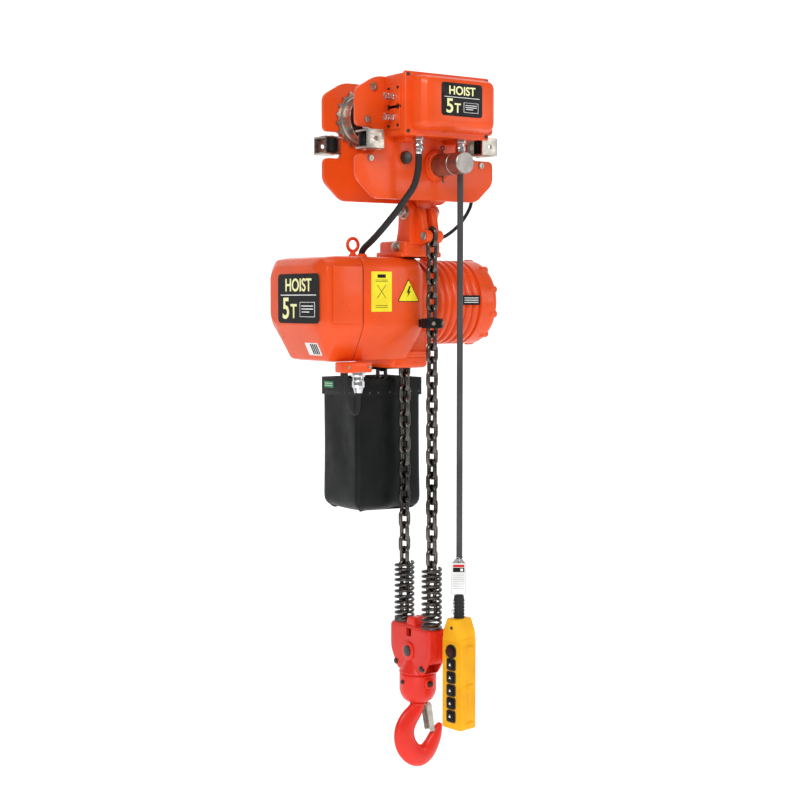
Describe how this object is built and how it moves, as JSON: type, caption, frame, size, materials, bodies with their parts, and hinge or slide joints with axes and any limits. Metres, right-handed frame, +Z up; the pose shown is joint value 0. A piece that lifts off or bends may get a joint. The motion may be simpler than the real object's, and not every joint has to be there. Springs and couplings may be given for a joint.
{
  "type": "electric chain hoist",
  "caption": "Electric chain hoist on a motorised beam trolley: two chain falls, bottom block with a swivel safety hook, chain bag and a hanging push-button pendant.",
  "frame": {"origin": "on the line of the load, in the plane where the trolley wheels roll on the top of the beam's lower flange", "axes": "+X along the beam, toward the hoist motor; +Y across the beam, away from the control box; +Z up"},
  "size_m": [0.605, 0.5423, 1.834],
  "materials": {
    "red_paint": "glossy orange-red enamel",
    "hook_red": "satin red enamel",
    "steel": "turned or zinc-plated steel",
    "dark_steel": "oiled black hardened steel",
    "chrome": "nickel-plated brass",
    "black_rubber": "matt rubber jacket",
    "black_plastic": "satin moulded plastic",
    "bag_fabric": "coated black fabric with a slight sheen",
    "yellow_plastic": "satin moulded plastic"
  },
  "bodies": {
    "trolley": {"near_side_plate": "red_paint", "far_side_plate": "red_paint", "suspension_shaft": "steel", "guide_bracket_near_left": "steel", "guide_bracket_near_right": "steel", "guide_bracket_far_left": "steel", "guide_bracket_far_right": "steel", "control_box": "red_paint", "control_box_lid": "red_paint", "trolley_contactors": "black_plastic", "hoist_lead_gland": "chrome", "pendant_gland": "chrome", "drive_gearbox": "red_paint", "drive_motor": "red_paint", "hoist_lead": "black_rubber", "motor_lead": "black_rubber"},
    "far_wheel_left": {"far_wheel_left": "steel"},
    "far_wheel_right": {"far_wheel_right": "steel"},
    "near_wheel_left": {"near_wheel_left": "steel"},
    "near_wheel_right": {"near_wheel_right": "steel"},
    "drive_pinion": {"drive_pinion": "steel"},
    "guide_roller_near_left": {"guide_roller_near_left": "black_plastic"},
    "guide_roller_near_right": {"guide_roller_near_right": "black_plastic"},
    "guide_roller_far_left": {"guide_roller_far_left": "black_plastic"},
    "guide_roller_far_right": {"guide_roller_far_right": "black_plastic"},
    "suspender": {"suspender": "red_paint"},
    "hoist": {"lifting_bolt": "steel", "suspension_yoke": "red_paint", "anchor_pin": "steel", "gear_case": "red_paint", "control_cover": "red_paint", "control_panel": "black_plastic", "motor_housing": "red_paint", "motor_end_cap": "red_paint", "chain_guide": "black_plastic", "limit_switch": "red_paint", "limit_cable": "black_rubber", "eye_bolt": "red_paint", "chain_bag": "bag_fabric", "stored_chain": "dark_steel", "live_chain": "dark_steel", "anchor_chain": "dark_steel"},
    "hook_block": {"block_shell_left": "hook_red", "block_shell_right": "hook_red", "chain_spring_live": "dark_steel", "chain_spring_anchor": "dark_steel", "hook_holder": "hook_red"},
    "load_sheave": {"load_sheave": "dark_steel"},
    "bottom_sheave": {"bottom_sheave": "dark_steel"},
    "rotor": {"rotor": "steel"},
    "hook": {"hook": "hook_red"},
    "hook_latch": {"hook_latch": "steel"},
    "pendant": {"pendant_housing": "yellow_plastic", "pendant_cable": "black_rubber"},
    "stop_button": {"stop_button": "black_plastic"},
    "up_button": {"up_button": "black_plastic"},
    "down_button": {"down_button": "black_plastic"},
    "east_button": {"east_button": "black_plastic"},
    "west_button": {"west_button": "black_plastic"},
    "start_button": {"start_button": "black_plastic"}
  },
  "joints": [
    {"name": "far_wheel_left_spin", "type": "hinge", "parent": "trolley", "child": "far_wheel_left", "pos_m": [-0.1375, 0, 0.0625], "axis": [0, 1, 0], "continuous": true},
    {"name": "far_wheel_right_spin", "type": "hinge", "parent": "trolley", "child": "far_wheel_right", "pos_m": [0.0725, 0, 0.0625], "axis": [0, 1, 0], "continuous": true},
    {"name": "near_wheel_left_spin", "type": "hinge", "parent": "trolley", "child": "near_wheel_left", "pos_m": [-0.1375, 0, 0.0625], "axis": [0, 1, 0], "continuous": true},
    {"name": "near_wheel_right_spin", "type": "hinge", "parent": "trolley", "child": "near_wheel_right", "pos_m": [0.0725, 0, 0.0625], "axis": [0, 1, 0], "continuous": true},
    {"name": "drive_pinion_spin", "type": "hinge", "parent": "trolley", "child": "drive_pinion", "pos_m": [-0.0325, 0, 0.0625], "axis": [0, 1, 0], "continuous": true},
    {"name": "guide_roller_near_left_spin", "type": "hinge", "parent": "trolley", "child": "guide_roller_near_left", "pos_m": [-0.221, -0.077, -0.006], "axis": [0, 0, 1], "continuous": true},
    {"name": "guide_roller_near_right_spin", "type": "hinge", "parent": "trolley", "child": "guide_roller_near_right", "pos_m": [0.14, -0.077, -0.006], "axis": [0, 0, 1], "continuous": true},
    {"name": "guide_roller_far_left_spin", "type": "hinge", "parent": "trolley", "child": "guide_roller_far_left", "pos_m": [-0.221, 0.077, -0.006], "axis": [0, 0, 1], "continuous": true},
    {"name": "guide_roller_far_right_spin", "type": "hinge", "parent": "trolley", "child": "guide_roller_far_right", "pos_m": [0.156, 0.077, -0.006], "axis": [0, 0, 1], "continuous": true},
    {"name": "hoist_sway", "type": "hinge", "parent": "trolley", "child": "suspender", "pos_m": [0, 0, -0.06], "axis": [0, 1, 0], "range_deg": [-8, 8], "deforming": ["hoist_lead", "motor_lead"]},
    {"name": "hoist_tilt", "type": "hinge", "parent": "suspender", "child": "hoist", "pos_m": [0, 0, -0.175], "axis": [1, 0, 0], "range_deg": [0, 4]},
    {"name": "hook_lift", "type": "slide", "parent": "hoist", "child": "hook_block", "axis": [0, 0, 1], "range_m": [-0.136, 0.272], "deforming": ["live_chain", "anchor_chain"]},
    {"name": "load_sheave_spin", "type": "hinge", "parent": "hoist", "child": "load_sheave", "pos_m": [0, 0.118, -0.414], "axis": [1, 0, 0], "range_deg": [-577, 289]},
    {"name": "bottom_sheave_spin", "type": "hinge", "parent": "hook_block", "child": "bottom_sheave", "pos_m": [0, 0, -1.343], "axis": [1, 0, 0], "range_deg": [-121, 241]},
    {"name": "rotor_spin", "type": "hinge", "parent": "hoist", "child": "rotor", "pos_m": [0, 0.118, -0.414], "axis": [1, 0, 0], "continuous": true},
    {"name": "hook_swivel", "type": "hinge", "parent": "hook_block", "child": "hook", "pos_m": [0, 0, -1.491], "axis": [0, 0, 1], "continuous": true},
    {"name": "latch_swing", "type": "hinge", "parent": "hook", "child": "hook_latch", "pos_m": [0.028, 0, -1.502], "axis": [0, 1, 0], "range_deg": [0, 32], "stiffness_Nm_per_rad": 0.05, "springref_deg": -34.38},
    {"name": "pendant_swing", "type": "hinge", "parent": "trolley", "child": "pendant", "pos_m": [0.037, -0.135, -0.0388], "axis": [1, 0, 0], "range_deg": [-12, 0]},
    {"name": "stop_button_press", "type": "slide", "parent": "pendant", "child": "stop_button", "axis": [0.9903, 0.1392, 0], "range_m": [0, 0.004], "stiffness_N_per_m": 400, "springref_m": -0.003},
    {"name": "up_button_press", "type": "slide", "parent": "pendant", "child": "up_button", "axis": [0.9903, 0.1392, 0], "range_m": [0, 0.004], "stiffness_N_per_m": 400, "springref_m": -0.003},
    {"name": "down_button_press", "type": "slide", "parent": "pendant", "child": "down_button", "axis": [0.9903, 0.1392, 0], "range_m": [0, 0.004], "stiffness_N_per_m": 400, "springref_m": -0.003},
    {"name": "east_button_press", "type": "slide", "parent": "pendant", "child": "east_button", "axis": [0.9903, 0.1392, 0], "range_m": [0, 0.004], "stiffness_N_per_m": 400, "springref_m": -0.003},
    {"name": "west_button_press", "type": "slide", "parent": "pendant", "child": "west_button", "axis": [0.9903, 0.1392, 0], "range_m": [0, 0.004], "stiffness_N_per_m": 400, "springref_m": -0.003},
    {"name": "start_button_press", "type": "slide", "parent": "pendant", "child": "start_button", "axis": [0.9903, 0.1392, 0], "range_m": [0, 0.004], "stiffness_N_per_m": 400, "springref_m": -0.003}
  ],
  "couplings": [
    {"joint": "far_wheel_right_spin", "follows": "far_wheel_left_spin", "ratio": 1},
    {"joint": "drive_pinion_spin", "follows": "far_wheel_left_spin", "ratio": -2.5},
    {"joint": "load_sheave_spin", "follows": "hook_lift", "rad_per_m": -36.96},
    {"joint": "bottom_sheave_spin", "follows": "hook_lift", "rad_per_m": 15.4}
  ]
}
